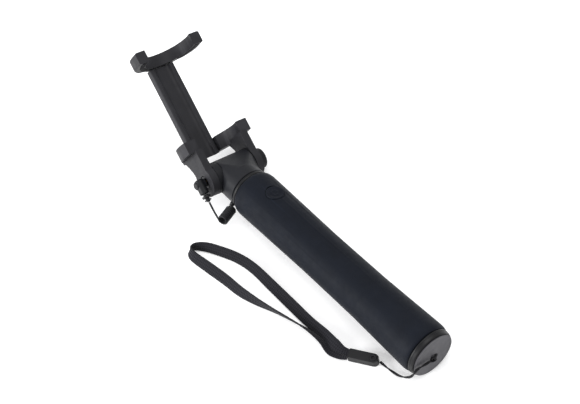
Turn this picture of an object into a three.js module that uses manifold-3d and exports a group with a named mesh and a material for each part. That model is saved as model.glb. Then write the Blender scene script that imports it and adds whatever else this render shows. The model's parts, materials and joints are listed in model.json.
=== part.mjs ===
// A hand-held selfie stick, pushed shut and lying on a table with its phone clamp tilted up.
//
// A silicone grip covers a plastic core. The core holds a fixed steel tube, and five thinner
// tubes slide out of it, one out of another. The last one carries the head, a barrel that the
// phone clamp tilts on. The clamp has a C-shaped lower jaw on a forked yoke, a channel rail,
// and a C-shaped upper jaw on a sprung plate that pulls out of the rail. A curly lead runs
// from a gland in the head to a right-angle plug, which is stowed in the hollow end of the
// hinge. The wrist strap hangs on a thread from a bar in the end cap.
//
// Units are millimetres and +Z is up. Two frames are used:
//   stick frame: origin on the hinge axis, +X along the handle to its end cap, +Y along the
//     hinge axis to the knob, +Z to the shutter button.
//   clamp frame: the same origin, +Z up the rail, +Y along the hinge axis, +X out of the
//     side that faces the phone.

import * as THREE from 'three';
import { mergeVertices } from 'three/addons/utils/BufferGeometryUtils.js';
import { ConvexGeometry } from 'three/addons/geometries/ConvexGeometry.js';
import Module from 'manifold-3d';

const wasm = await Module();
wasm.setup();

const DEG = Math.PI / 180;

// ---------------------------------------------------------------- how the stick lies
const HINGE_X = -50.92;       // puts the origin under the middle of the whole stick
const HINGE_Y = -9.36;
const AXIS_HEIGHT = 16.05;    // the flare of the grip rests on the table
const ROLL = -18 * DEG;       // turned about its own axis until an ear of the clamp rests too
const TILT = 35.8 * DEG;      // the rail's angle above the handle's axis

// ---------------------------------------------------------------- grip and handle
const SLEEVE_FRONT = 23.8;
const SLEEVE_END = 184.4;
const SLEEVE_BORE = 13.3;
const SHOULDER_X = 28.5;
const FLARE_X = 180;
const FLARE_R = 16;
const SLEEVE_SHAPE = [
  [SHOULDER_X, 15.75], [60, 14.95], [92, 14.6], [134, 14.75], [160, 15.45], [FLARE_X, FLARE_R],
];
const CORE_R = 13.0;
const CORE_BORE = 10.8;
const CAP_FACE = 189.2;
const CAP_R = 14.2;
const BUTTON_X = 45.2;
const BUTTON_R = 5.9;
const BUTTON_TOP = 15.2;
const BOARD_TOP = 11.65;

// ---------------------------------------------------------------- telescoping tubes
const FIXED_TUBE_R = 10.5;
const FIXED_TUBE_FRONT = 21.2;
const FIXED_TUBE_END = 150;
const STAGES = 5;
const STAGE_STEP = 1.4;       // each tube's radius is this much less than the one round it
const FRONT_STEP = 1.5;       // and its mouth stands this much further forward
const END_STEP = 4;
const TUBE_WALL = 0.6;
const BUSH_LENGTH = 6;
const FIT_GAP = 0.1;
const KEY_DEPTH = 0.45;       // the groove along every tube that stops it turning
const KEY_HALF_ANGLE = 26 * DEG;

// ---------------------------------------------------------------- head and hinge
const BARREL_R = 10.1;
const BARREL_HALF = 14.7;
const BARREL_SEAM = -9.5;
const NECK_R = 13.8;
const NECK_END = 20.4;
const TRIM_R = 14.3;
const ARM_INNER = 15;
const ARM_OUTER = 20;
const EAR_R = 10;
const EAR_FRONT = [8.3, 5.58];
const EAR_BACK = [-7.8, 6.26];
const BOLT_R = 2.5;
const NUT_R = 4.2;
const PIN_X = 11.6;

// ---------------------------------------------------------------- lead and plug
const LEAD_R = 0.65;
const GLAND_X = 18.3;
const GLAND_R = 1.8;
const GLAND_DIRECTION = new THREE.Vector3(0, -0.8, -0.6);
const COIL_R = 3.5;           // outside radius of the lead's curly stretch
const COIL_LENGTH = 10.7;     // from the middle of its first turn to the middle of its last
const COIL_END = new THREE.Vector3(25.1, -24.15, -11.4);
const COIL_DIRECTION = new THREE.Vector3(0.364, -0.916, -0.17).normalize();
const PLUG_Y = -23.9;
const PLUG_R = 3.1;
// From the plug to the curly stretch, in the stick frame.
const LEAD_ROUTE = [
  [10.45, -23.9, -6.92], [11.7, -23.93, -7.8], [13.1, -24.0, -8.72], [14.5, -24.08, -9.5],
  [15.9, -24.18, -10.2], [17.2, -24.28, -10.78], [18.4, -24.38, -11.28], [19.5, -24.47, -11.68],
  [20.4, -24.54, -11.98], [21.1, -24.6, -12.22], [21.7, -24.65, -12.44], [22.15, -24.69, -12.62],
  [22.5, -24.72, -12.8], [22.72, -24.74, -12.93], [22.84, -24.75, -13.04],
];

// ---------------------------------------------------------------- phone clamp
const JAW_BORE = 17.5;
const LOWER_JAW_R = 25.2;
const LOWER_JAW_TIP = 6.9;
const LOWER_JAW_FLOOR = 17.7;
const LOWER_JAW_TOP = 27.4;
const TIP_FLOOR = 19.3;
const UPPER_JAW_TIP = 4;
const UPPER_JAW_FLOOR = 85;
const UPPER_JAW_TOP = 93;
const UPPER_JAW_ROUNDING = 2.2;
const UPPER_PAD_SHIFT = 8 * DEG;
const PAD_DEPTH = 0.8;        // how deep a pad is let into its jaw
const PAD_PROUD = 0.3;
const RAIL_HALF = 9.4;
const RAIL_FRONT = -17.6;
const RAIL_BACK = -22.6;
const RAIL_FOOT = 17;
const RAIL_TOP = 84.6;
const RIM = 3.6;
const CHANNEL_DEPTH = 2;
const RAIL_WALL = 0.8;
const PLATE_HALF = 5.2;
const PLATE_FOOT = 42;
const PLATE_TOP = 89.6;
const SPRING_R = 1.1;
const SPRING_Y = 7.1;

// ---------------------------------------------------------------- strap, slider and thread
// Routes over the table, with x and y measured from the hinge.
const STRAP_R = 1.3;
const STRAP_ROUTE = [
  [147.6, -28.4, 3.2], [143.6, -30.4, 3.2], [138, -31.2, 3.2], [129, -31.1, 3.2], [115, -31.8, 3.2],
  [98, -31.7, 3.2], [80, -31.7, 3.2], [61, -32.0, 3.2], [47.5, -34.6, 3.2], [35, -39.6, 3.2],
  [27.2, -43.6, 3.2], [22.0, -48.4, 3.2], [21.4, -52.0, 3.2], [26, -53.6, 3.2], [40, -51.6, 3.2],
  [54.5, -49.6, 3.2],
  [68.5, -48.4, 3.2], [81, -46, 3.2], [94, -42.4, 3.2], [106, -39.2, 3.2], [119, -36.2, 3.2],
  [131, -34.8, 3.2], [139, -35.0, 3.2], [145.4, -33.3, 3.2], [149.1, -31.0, 3.2],
];
const SLIDER_FROM = [148.8, -29.4];
const SLIDER_TO = [164.2, -20.0];
const SLIDER_WIDTH = 6;
const SLIDER_HEIGHT = 5.2;
const THREAD_R = 0.7;
const THREAD_ROUTE = [
  [164.7, -19.6, 2.4], [168.7, -19.2, 1.6], [173.7, -18.6, 1.5], [179, -18.2, 3.2], [184, -17.8, 7.4],
  [188.4, -17.0, 12.4], [190.3, -15.6, 16.2], [190.5, -13.6, 18.0], [190.4, -10.5, 17.3],
  [190.4, -6.5, 16.0], [190.3, -3.2, 14.9],
];

// ================================================================ shape helpers

// Welds the vertices, drops collapsed triangles and turns the faces outward.
function closed(geometry) {
  const bare = geometry.clone();
  bare.deleteAttribute('normal');
  bare.deleteAttribute('uv');
  const welded = mergeVertices(bare, 1e-4);
  const position = welded.getAttribute('position');
  const corners = welded.getIndex().array;
  const kept = [];
  let volume = 0;
  const [a, b, c] = [new THREE.Vector3(), new THREE.Vector3(), new THREE.Vector3()];
  for (let i = 0; i < corners.length; i += 3) {
    const [p, q, r] = [corners[i], corners[i + 1], corners[i + 2]];
    if (p === q || q === r || r === p) continue;
    kept.push(p, q, r);
    a.fromBufferAttribute(position, p);
    b.fromBufferAttribute(position, q);
    c.fromBufferAttribute(position, r);
    volume += a.dot(b.cross(c));
  }
  if (volume < 0) kept.reverse();
  welded.setIndex(kept);
  return welded;
}

function toSolid(geometry) {
  const mesh = new wasm.Mesh({
    numProp: 3,
    vertProperties: Float32Array.from(geometry.getAttribute('position').array),
    triVerts: Uint32Array.from(geometry.getIndex().array),
  });
  return new wasm.Manifold(mesh);
}

function toGeometry(solid) {
  const mesh = solid.getMesh();
  const geometry = new THREE.BufferGeometry();
  geometry.setAttribute('position', new THREE.Float32BufferAttribute(mesh.vertProperties, 3));
  geometry.setIndex(Array.from(mesh.triVerts));
  return geometry;
}

function join(first, ...others) {
  return toGeometry(others.reduce((sum, other) => sum.add(toSolid(other)), toSolid(first)));
}

function cut(first, ...tools) {
  return toGeometry(tools.reduce((rest, tool) => rest.subtract(toSolid(tool)), toSolid(first)));
}

// Turned about +Y. The profile is a list of [place along the axis, radius]. One that starts
// off the axis closes on itself.
function turned(profile, sides = 32) {
  const points = profile.map(([place, radius]) => new THREE.Vector2(radius, place));
  if (profile[0][1] > 0) points.push(points[0].clone());
  return closed(new THREE.LatheGeometry(points, sides));
}

// Turns a shape made about +Y to point along a direction.
function pointed(geometry, direction) {
  const turn = new THREE.Quaternion().setFromUnitVectors(new THREE.Vector3(0, 1, 0), direction);
  return geometry.applyQuaternion(turn);
}

const alongX = (geometry) => geometry.rotateZ(-90 * DEG);
const alongZ = (geometry) => geometry.rotateX(90 * DEG);

function ring(from, to, bore, radius, chamfer = 0.2) {
  return [
    [from, bore], [from, radius - chamfer], [from + chamfer, radius],
    [to - chamfer, radius], [to, radius - chamfer], [to, bore],
  ];
}

function rod(from, to, radius, chamfer = 0.2) {
  return [
    [from, 0], [from, radius - chamfer], [from + chamfer, radius],
    [to - chamfer, radius], [to, radius - chamfer], [to, 0],
  ];
}

function box(x, y, z) {
  const size = [x, y, z].map(([low, high]) => high - low);
  const middle = [x, y, z].map(([low, high]) => (low + high) / 2);
  return closed(new THREE.BoxGeometry(...size).translate(...middle));
}

function outline(points) {
  return new THREE.Shape(points.map(([x, y]) => new THREE.Vector2(x, y)));
}

// A shape in the XY plane, raised from one height to another.
function raised(shape, from, to, bevel = 0, curveSegments = 16) {
  const geometry = new THREE.ExtrudeGeometry(shape, {
    depth: to - from - 2 * bevel,
    bevelEnabled: bevel > 0,
    bevelThickness: bevel,
    bevelSize: bevel,
    bevelOffset: -bevel,
    bevelSegments: 1,
    curveSegments,
  });
  return closed(geometry.translate(0, 0, from + bevel));
}

// A shape drawn in the XZ plane, spread along +Y from one place to another.
function spread(shape, from, to, bevel = 0, curveSegments = 16) {
  return raised(shape, 0, to - from, bevel, curveSegments).rotateX(90 * DEG).translate(0, to, 0);
}

function roundTube(route, radius, steps) {
  const path = new THREE.CatmullRomCurve3(route.map((point) => new THREE.Vector3(...point)));
  const section = new THREE.Shape();
  section.absarc(0, 0, radius, 0, 2 * Math.PI);
  const options = { steps, extrudePath: path, bevelEnabled: false, curveSegments: 4 };
  return closed(new THREE.ExtrudeGeometry(section, options));
}

// ================================================================ materials

function finish(color, roughness, metalness = 0) {
  return new THREE.MeshStandardMaterial({ color, roughness, metalness });
}

const silicone = finish(0x26292e, 0.62);
const shell = finish(0x35363a, 0.42);
const clampPlastic = finish(0x46474b, 0.45);
const trimPlastic = finish(0x2a2b2e, 0.25);
const capPlastic = finish(0x4c4b51, 0.45);
const padRubber = finish(0x303134, 0.8);
const nylon = finish(0xb9b8b0, 0.5);
const steel = finish(0xa9acb0, 0.3, 1);
const blackSteel = finish(0x2b2c2f, 0.4, 0.8);
const brass = finish(0xc9a45c, 0.3, 1);
const circuitGreen = finish(0x1f4a34, 0.5);
const leadRubber = finish(0x232427, 0.5);
const webbing = finish(0x303136, 0.9);

// ================================================================ scene graph

const selfieStick = new THREE.Group();
const table = new THREE.Group();
table.position.set(HINGE_X, HINGE_Y, 0);
selfieStick.add(table);
const stick = new THREE.Group();
stick.position.z = AXIS_HEIGHT;
stick.rotation.x = ROLL;
table.add(stick);
const clamp = new THREE.Group();
clamp.rotation.y = TILT - 90 * DEG;
stick.add(clamp);

function place(group, name, geometry, material) {
  const mesh = new THREE.Mesh(geometry, material);
  mesh.name = name;
  group.add(mesh);
  return mesh;
}

// ================================================================ grip and handle

function sleeveProfile() {
  const waist = new THREE.SplineCurve(SLEEVE_SHAPE.map(([x, r]) => new THREE.Vector2(x, r)));
  const middle = waist.getPoints(13).map((point) => [point.x, point.y]);
  const front = [[SLEEVE_FRONT, SLEEVE_BORE], [SLEEVE_FRONT, 14.0], [24.4, 14.75], [25.8, 15.4]];
  const back = [[182.4, 15.8], [183.8, 15.4], [SLEEVE_END, 14.9], [SLEEVE_END, SLEEVE_BORE]];
  return [...front, ...middle, ...back];
}

function gripSleeve() {
  const body = alongX(turned(sleeveProfile(), 36));
  const buttonHole = alongZ(turned(rod(5, 20, BUTTON_R + 0.3, 0), 24));
  return cut(body, buttonHole.translate(BUTTON_X, 0, 0));
}

function handleCore() {
  const body = alongX(turned(ring(24.1, 183.8, CORE_BORE, CORE_R), 30));
  const pocket = box([BUTTON_X - 8.4, BUTTON_X + 8.4], [-6.6, 6.6], [8, 15]);
  return cut(body, pocket);
}

place(stick, 'grip_sleeve', gripSleeve(), silicone);
place(stick, 'handle_core', handleCore(), shell);
place(stick, 'front_collar', alongX(turned(ring(21.0, 23.6, 10.7, 13.1), 30)), trimPlastic);
place(stick, 'trim_ring', alongX(turned([
  [21.2, 13.4], [21.2, 13.9], [21.6, TRIM_R], [23.1, TRIM_R], [23.5, 13.9], [23.5, 13.4],
], 36)), trimPlastic);

// The end ring and the cap that plugs into the core, with a bar across a pocket for the
// lanyard thread.
function endCap() {
  const body = alongX(turned([
    [176, 0], [176, 10.2], [176.3, 10.5], [184.4, 10.5], [184.7, 12.1], [188.8, 12.1],
    [188.8, CAP_R - 0.15], [188.95, CAP_R], [CAP_FACE - 0.15, CAP_R - 0.1], [CAP_FACE, CAP_R - 0.4],
    [CAP_FACE, 0],
  ], 36));
  const pocket = box([184.6, 190], [-2.4, 4.8], [-6.0, 0.8]);
  const bar = box([187.0, 188.7], [0.6, 1.8], [-6.4, 1.2]);
  return join(cut(body, pocket), bar);
}

place(stick, 'end_ring', alongX(turned([
  [184.7, 12.4], [184.7, 14.9], [185.2, 15.25], [187.9, 14.8], [188.5, 14.4], [188.5, 12.4],
], 36)), trimPlastic);
place(stick, 'end_cap', endCap(), capPlastic);

// ---------------------------------------------------------------- shutter button
const FLANGE_LOW = 12.3;

function shutterButton() {
  const cap = alongZ(turned([
    [13.5, 0], [13.5, BUTTON_R], [14.9, BUTTON_R], [BUTTON_TOP, BUTTON_R - 0.4],
    [BUTTON_TOP, BUTTON_R - 1.1], [14.85, 2.6], [14.8, 0],
  ], 24));
  const leg = (side) => box([side * 6.2 - 1.1, side * 6.2 + 1.1], [-2.2, 2.2], [FLANGE_LOW, 12.9]);
  const post = (side) => box([side * 5.1 - 0.45, side * 5.1 + 0.45], [-2.0, 2.0], [12.5, 14]);
  return join(cap, leg(-1), leg(1), post(-1), post(1)).translate(BUTTON_X, 0, 0);
}

place(stick, 'shutter_button', shutterButton(), silicone);
const board = box([BUTTON_X - 8, BUTTON_X + 8], [-4.6, 4.6], [10.95, BOARD_TOP]);
place(stick, 'switch_board', board, circuitGreen);
place(stick, 'tact_switch', join(
  box([BUTTON_X - 1.9, BUTTON_X + 1.9], [-1.9, 1.9], [BOARD_TOP + 0.1, 12.6]),
  alongZ(turned(rod(12.4, 12.9, 0.9, 0.1), 10)).translate(BUTTON_X, 0, 0),
), blackSteel);

// The slack of the inner lead, coiled in the space behind the tubes.
place(stick, 'lead_coil', alongX(turned(ring(153, 171, 5.2, 8.8, 0.8), 20)), leadRubber);

// ================================================================ telescoping tubes

// A circle with a shallow groove along its underside.
function keyedCircle(radius) {
  const points = [];
  const sides = 20;
  for (let i = 0; i < sides; i += 1) {
    const angle = 2 * Math.PI * i / sides;
    const offset = Math.min(angle, 2 * Math.PI - angle) / KEY_HALF_ANGLE;
    const groove = offset < 1 ? KEY_DEPTH * (1 + Math.cos(Math.PI * offset)) / 2 : 0;
    const r = radius - groove;
    points.push(new THREE.Vector2(r * Math.cos(angle), r * Math.sin(angle)));
  }
  return points;
}

function keyedTube(from, to, bore, radius) {
  const shape = new THREE.Shape(keyedCircle(radius));
  shape.holes.push(new THREE.Path(keyedCircle(bore)));
  return raised(shape, from, to).rotateY(90 * DEG);
}

const tubeRadius = (stage) => FIXED_TUBE_R - STAGE_STEP * stage;
const tubeFront = (stage) => FIXED_TUBE_FRONT - FRONT_STEP * stage;
const tubeEnd = (stage) => FIXED_TUBE_END - END_STEP * stage;

// The ring between a tube and the next one inside it: a guide in the mouth of the outer
// one, or a bush round the tail of the inner one.
function slidingRing(stage, from) {
  const bore = tubeRadius(stage) + FIT_GAP;
  const radius = tubeRadius(stage - 1) - TUBE_WALL - FIT_GAP;
  return keyedTube(from, from + BUSH_LENGTH, bore, radius);
}

function stageTube(stage, front) {
  const radius = tubeRadius(stage);
  return keyedTube(front, tubeEnd(stage), radius - TUBE_WALL, radius);
}

place(stick, 'outer_tube', stageTube(0, FIXED_TUBE_FRONT), steel);
for (let stage = 1; stage < STAGES; stage += 1) {
  place(stick, `tube_${stage}`, stageTube(stage, tubeFront(stage)), steel);
}
const pinHole = alongZ(turned(rod(-9, 14, 0.95, 0), 12)).translate(PIN_X, 0, 0);
place(stick, `tube_${STAGES}`, cut(stageTube(STAGES, 9.3), pinHole), steel);
for (let stage = 1; stage <= STAGES; stage += 1) {
  place(stick, `guide_ring_${stage}`, slidingRing(stage, tubeFront(stage - 1) + 0.3), nylon);
  place(stick, `rear_bush_${stage}`, slidingRing(stage, tubeEnd(stage) - BUSH_LENGTH), nylon);
}

// ================================================================ head

function circlePoints(radius, toPoint, count = 28) {
  return Array.from({ length: count }, (unused, i) => {
    const angle = 2 * Math.PI * i / count;
    return toPoint(radius * Math.cos(angle), radius * Math.sin(angle));
  });
}

// The barrel, blended into the round neck behind it.
function headBlock() {
  const blend = closed(new ConvexGeometry([
    ...circlePoints(BARREL_R, (x, z) => new THREE.Vector3(x, BARREL_SEAM, z)),
    ...circlePoints(BARREL_R - 0.4, (x, z) => new THREE.Vector3(x, BARREL_HALF, z)),
    ...circlePoints(BARREL_R, (x, z) => new THREE.Vector3(x, BARREL_HALF - 0.4, z)),
    ...circlePoints(NECK_R, (y, z) => new THREE.Vector3(13, y, z)),
  ]));
  const neck = alongX(turned(rod(12.6, NECK_END, NECK_R, 0.35), 28));
  const tubeSpace = alongX(turned(rod(14.0, NECK_END + 1, 11.0, 0), 28));
  const socket = alongX(turned(rod(8.9, 14.5, tubeRadius(STAGES) + 0.3, 0), 20));
  const boltBore = turned(rod(-3, 16, BOLT_R + 0.3, 0), 20);
  const nutBore = turned(rod(-12, -2.7, NUT_R + 0.3, 0), 20);
  const washerSeat = turned(rod(13.3, 16, 7.2, 0), 24);
  const glandHole = pointed(turned(rod(9, 15, GLAND_R + 0.3, 0), 12), GLAND_DIRECTION);
  glandHole.translate(GLAND_X, 0, 0);
  const ringSpace = turned(rod(-16, BARREL_SEAM, BARREL_R + 0.3, 0), 28);
  const tools = [ringSpace, tubeSpace, socket, boltBore, nutBore, washerSeat, pinHole, glandHole];
  return cut(join(blend, neck), ...tools);
}

place(stick, 'head_block', headBlock(), shell);
const frictionRing = ring(-BARREL_HALF, BARREL_SEAM - 0.2, NUT_R + 0.3, BARREL_R, 0.4);
place(stick, 'friction_ring', turned(frictionRing, 28), shell);
place(stick, 'tube_pin', alongZ(turned(rod(-8, 8, 0.8), 12)).translate(PIN_X, 0, 0), steel);

// ---------------------------------------------------------------- gland, lead and plug

// The tapered gland in the neck, the curly stretch that starts at it, as one solid of its
// outside size, and the straight stretch on to the plug.
place(stick, 'lead_gland', pointed(turned([
  [12.2, 0], [12.2, GLAND_R], [14.3, GLAND_R], [16.2, 1.1], [16.2, 0],
], 12), GLAND_DIRECTION).translate(GLAND_X, 0, 0), leadRubber);

function curlyStretch(grow = 0) {
  const roll = turned(rod(-COIL_LENGTH - LEAD_R - grow, LEAD_R + grow, COIL_R + grow, 0.5), 18);
  return pointed(roll, COIL_DIRECTION).translate(...COIL_END.toArray());
}

place(stick, 'curly_lead', curlyStretch(), leadRubber);
place(stick, 'plug_lead', cut(roundTube(LEAD_ROUTE, LEAD_R, 16), curlyStretch(0.3)), leadRubber);

// The right-angle plug: its body stands along the rail, with a round lobe on the hinge axis
// and a tip that slips into the hollow nut.
const plug = new THREE.Group();
plug.rotation.y = TILT - 90 * DEG;
stick.add(plug);

function plugBody() {
  const body = alongZ(turned(rod(-6.8, 3.2, PLUG_R, 0.7), 18)).translate(0.5, PLUG_Y, 0);
  const lobe = turned([
    [-27.4, 0], [-27.4, 1.9], [-26.8, 2.6], [-26.0, 2.9], [-20.7, 2.9], [-20.4, 2.6], [-20.4, 0],
  ], 18);
  return join(body, lobe);
}

place(plug, 'plug_body', plugBody(), leadRubber);
place(plug, 'plug_boot', alongZ(turned([
  [-12.2, 0], [-12.2, 1.0], [-11.4, 1.2], [-11.4, 2.25], [-10.6, 2.25], [-10.6, 1.4],
  [-9.4, 1.5], [-9.4, 2.85], [-8.0, 2.85], [-8.0, 1.7], [-7.1, 1.7], [-7.1, 0],
], 14)).translate(0.5, PLUG_Y, 0), leadRubber);
place(plug, 'plug_tip', turned([
  [-20.1, 0], [-20.1, 1.75], [-16.4, 1.75], [-16.2, 1.45], [-15.8, 1.45], [-15.6, 1.75],
  [-12.6, 1.75], [-12.4, 1.45], [-12.0, 1.45], [-11.8, 1.75], [-9.9, 1.75], [-9.3, 1.2],
  [-8.6, 1.6], [-7.3, 0.6], [-7.1, 0],
], 12), brass);

// ================================================================ phone clamp

// A C in the XY plane: an arc band, open on the +X side, with flat end faces.
function jawShape(bore, radius, tip) {
  const shape = new THREE.Shape();
  const outer = Math.acos(tip / radius);
  const inner = Math.acos(tip / bore);
  shape.absarc(0, 0, radius, outer, 2 * Math.PI - outer, false);
  shape.absarc(0, 0, bore, 2 * Math.PI - inner, inner, true);
  shape.closePath();
  return shape;
}

// Half of a C, for a pad: a band between two angles, on the +Y side.
function padShape(bore, radius, from, to) {
  const shape = new THREE.Shape();
  shape.absarc(0, 0, radius, from, to, false);
  shape.absarc(0, 0, bore, to, from, true);
  shape.closePath();
  return shape;
}

const PAD_FROM = 74 * DEG;
const PAD_TO = 142 * DEG;
const PAD_BORE = 18.7;
const PAD_RADIUS = 21.6;

function pad(side, low, high, grow, shift) {
  const from = PAD_FROM + shift - grow / 20;
  const to = PAD_TO + grow / 20;
  const shape = padShape(PAD_BORE - grow, PAD_RADIUS + grow, from, to);
  const geometry = raised(shape, low, high, 0, 8);
  return side > 0 ? geometry : geometry.rotateX(180 * DEG).translate(0, 0, low + high);
}

function arm(side) {
  const shape = new THREE.Shape();
  const start = Math.atan2(EAR_FRONT[1], EAR_FRONT[0]);
  const end = Math.atan2(EAR_BACK[1], EAR_BACK[0]) - 2 * Math.PI;
  shape.moveTo(EAR_FRONT[0], 20);
  shape.lineTo(...EAR_FRONT);
  shape.absarc(0, 0, EAR_R, start, end, true);
  shape.lineTo(-8.2, 9);
  shape.lineTo(-9.9, 13.2);
  shape.lineTo(-13.6, 18.4);
  shape.lineTo(-13.6, 20);
  shape.closePath();
  return side > 0 ? spread(shape, ARM_INNER, ARM_OUTER, 0.4) : spread(shape, -ARM_OUTER, -ARM_INNER, 0.4);
}

const screwPlaces = [-4.5, 4.5];
const SCREW_HEIGHT = 22.6;

// A screw along -X into the back of the yoke.
function railScrew(y, grow = 0) {
  const profile = [
    [-25.1, 0], [-25.1, 1.7 + grow], [-24.2, 1.7 + grow],
    [-23.9, 0.9 + grow], [-21.9, 0.9 + grow], [-21.9, 0],
  ];
  return alongX(turned(profile, 12)).translate(0, y, SCREW_HEIGHT);
}

function clampYoke() {
  const shape = jawShape(JAW_BORE, LOWER_JAW_R, LOWER_JAW_TIP);
  const band = raised(shape, LOWER_JAW_FLOOR, LOWER_JAW_TOP, 0.5, 24);
  const back = box([-25.4, -18], [-12.4, 12.4], [LOWER_JAW_FLOOR, LOWER_JAW_TOP]);
  const pocket = box([RAIL_BACK - 0.3, -12], [-RAIL_HALF - 0.3, RAIL_HALF + 0.3], [10, 30]);
  const stepDown = (side) => box(
    [-30, 10], side > 0 ? [ARM_OUTER + 0.02, 30] : [-30, -ARM_OUTER - 0.02], [15, TIP_FLOOR],
  );
  const tools = [pocket, stepDown(1), stepDown(-1)];
  for (const side of [1, -1]) {
    tools.push(pad(side, LOWER_JAW_TOP - PAD_DEPTH, 29, 0.3, 0));
  }
  for (const y of screwPlaces) {
    tools.push(railScrew(y, 0.3).translate(-0.3, 0, 0), railScrew(y, 0.3));
  }
  const nutHole = turned(rod(-25, -14, NUT_R + 0.3, 0), 20);
  const boltHole = turned(rod(14, 25, BOLT_R + 0.3, 0), 20);
  return cut(join(band, back, arm(1), arm(-1)), ...tools, nutHole, boltHole);
}

place(clamp, 'clamp_yoke', clampYoke(), clampPlastic);
for (const [side, label] of [[-1, 'left'], [1, 'right']]) {
  const low = LOWER_JAW_TOP - PAD_DEPTH + 0.1;
  place(clamp, `lower_pad_${label}`, pad(side, low, LOWER_JAW_TOP + PAD_PROUD, 0, 0), padRubber);
}

// ---------------------------------------------------------------- hinge fittings
place(clamp, 'hinge_bolt', turned(rod(-6.2, 20.2, BOLT_R, 0.3), 20), blackSteel);
place(clamp, 'hinge_nut', turned([
  [-19.8, 2.2], [-19.8, NUT_R - 0.2], [-19.6, NUT_R], [-3.2, NUT_R], [-3.0, NUT_R - 0.2],
  [-3.0, BOLT_R + 0.2], [-6.6, BOLT_R + 0.2], [-6.8, 2.2],
], 20), blackSteel);
place(clamp, 'hinge_knob', turned([
  [20.5, 0], [20.5, 5.0], [21.6, 5.0], [21.6, 6.5], [21.9, 6.8], [24.6, 6.8], [25.1, 6.3],
  [25.1, 5.5], [24.6, 5.2], [24.6, 4.4], [25.4, 4.1], [25.4, 2.9], [24.8, 2.6], [24.8, 0],
], 20), shell);
place(clamp, 'spring_washer', turned(ring(13.6, 14.5, BOLT_R + 0.3, 6.8, 0.1), 20), steel);

// ---------------------------------------------------------------- rail
function railShell() {
  const inside = RAIL_HALF - RAIL_WALL;
  const channel = RAIL_HALF - RIM;
  const rimFloor = RAIL_FRONT - RAIL_WALL;
  const bottom = RAIL_FRONT - CHANNEL_DEPTH;
  const half = [
    [RAIL_BACK, RAIL_HALF], [RAIL_FRONT - 0.5, RAIL_HALF], [RAIL_FRONT, RAIL_HALF - 0.5],
    [RAIL_FRONT, channel + 0.3], [RAIL_FRONT - 0.4, channel - 0.1], [bottom + 0.5, channel - 0.9],
    [bottom + 0.1, channel - 2.4], [bottom, channel - 4],
  ];
  const hollow = [
    [bottom - RAIL_WALL, channel - 4], [bottom - RAIL_WALL + 0.1, channel - 0.5],
    [rimFloor, channel + 0.4], [rimFloor, inside], [RAIL_BACK, inside],
  ];
  const mirror = ([x, y]) => [x, -y];
  const front = [...half, ...half.map(mirror).reverse()];
  const rear = [...hollow.map(mirror).reverse(), ...hollow];
  return raised(outline([...front, ...rear]), RAIL_FOOT, RAIL_TOP);
}

function railCover() {
  const half = RAIL_HALF - RAIL_WALL - 0.2;
  const plate = box([RAIL_BACK, RAIL_BACK + RAIL_WALL], [-half, half], [RAIL_FOOT, RAIL_TOP]);
  return cut(plate, ...screwPlaces.map((y) => railScrew(y, 0.2).translate(0.3, 0, 0)));
}

place(clamp, 'rail_shell', railShell(), clampPlastic);
place(clamp, 'rail_cover', railCover(), clampPlastic);
place(clamp, 'rail_screw_left', railScrew(screwPlaces[0]), blackSteel);
place(clamp, 'rail_screw_right', railScrew(screwPlaces[1]), blackSteel);
place(clamp, 'spring_anchor', box([-21.5, -20.8], [-8.3, 8.3], [17.4, 19.6]), steel);
for (const [side, label] of [[-1, 'left'], [1, 'right']]) {
  const spring = alongZ(turned(ring(19.9, 41.7, SPRING_R - 0.5, SPRING_R, 0.1), 8));
  place(clamp, `jaw_spring_${label}`, spring.translate(-20.2, side * SPRING_Y, 0), steel);
}

// ---------------------------------------------------------------- upper jaw and its plate
// A plate with rounded outer edges, bored for the phone's back and cut flat at the front.
function upperJaw() {
  const half = [
    [JAW_BORE, 24], [-2, 24.7], [-8, 24.3], [-13, 22], [-17.7, 18], [-19.6, 12.4], [-22.6, 9.6],
  ];
  const plate = outline([...half, ...half.map(([x, y]) => [x, -y]).reverse()]);
  const body = raised(plate, UPPER_JAW_FLOOR, UPPER_JAW_TOP, UPPER_JAW_ROUNDING);
  const tools = [
    alongZ(turned(rod(80, 99, JAW_BORE, 0), 48)),
    box([UPPER_JAW_TIP, 30], [-30, 30], [80, 99]),
    box([-21.9, -20.3], [-PLATE_HALF - 0.3, PLATE_HALF + 0.3], [80, PLATE_TOP + 0.3]),
  ];
  for (const side of [1, -1]) {
    tools.push(pad(side, 83, UPPER_JAW_FLOOR + PAD_DEPTH, 0.3, UPPER_PAD_SHIFT));
  }
  return cut(body, ...tools);
}

function slidePlate() {
  const blade = box([-21.6, -20.6], [-PLATE_HALF, PLATE_HALF], [PLATE_FOOT, PLATE_TOP]);
  const foot = box([-21.6, -20.6], [-8.3, 8.3], [PLATE_FOOT, PLATE_FOOT + 2.6]);
  return join(blade, foot);
}

place(clamp, 'upper_jaw', upperJaw(), clampPlastic);
place(clamp, 'slide_plate', slidePlate(), steel);
for (const [side, label] of [[-1, 'left'], [1, 'right']]) {
  const high = UPPER_JAW_FLOOR + PAD_DEPTH - 0.1;
  const geometry = pad(side, UPPER_JAW_FLOOR - PAD_PROUD, high, 0, UPPER_PAD_SHIFT);
  place(clamp, `upper_pad_${label}`, geometry, padRubber);
}

// ================================================================ strap, slider and thread

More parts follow.
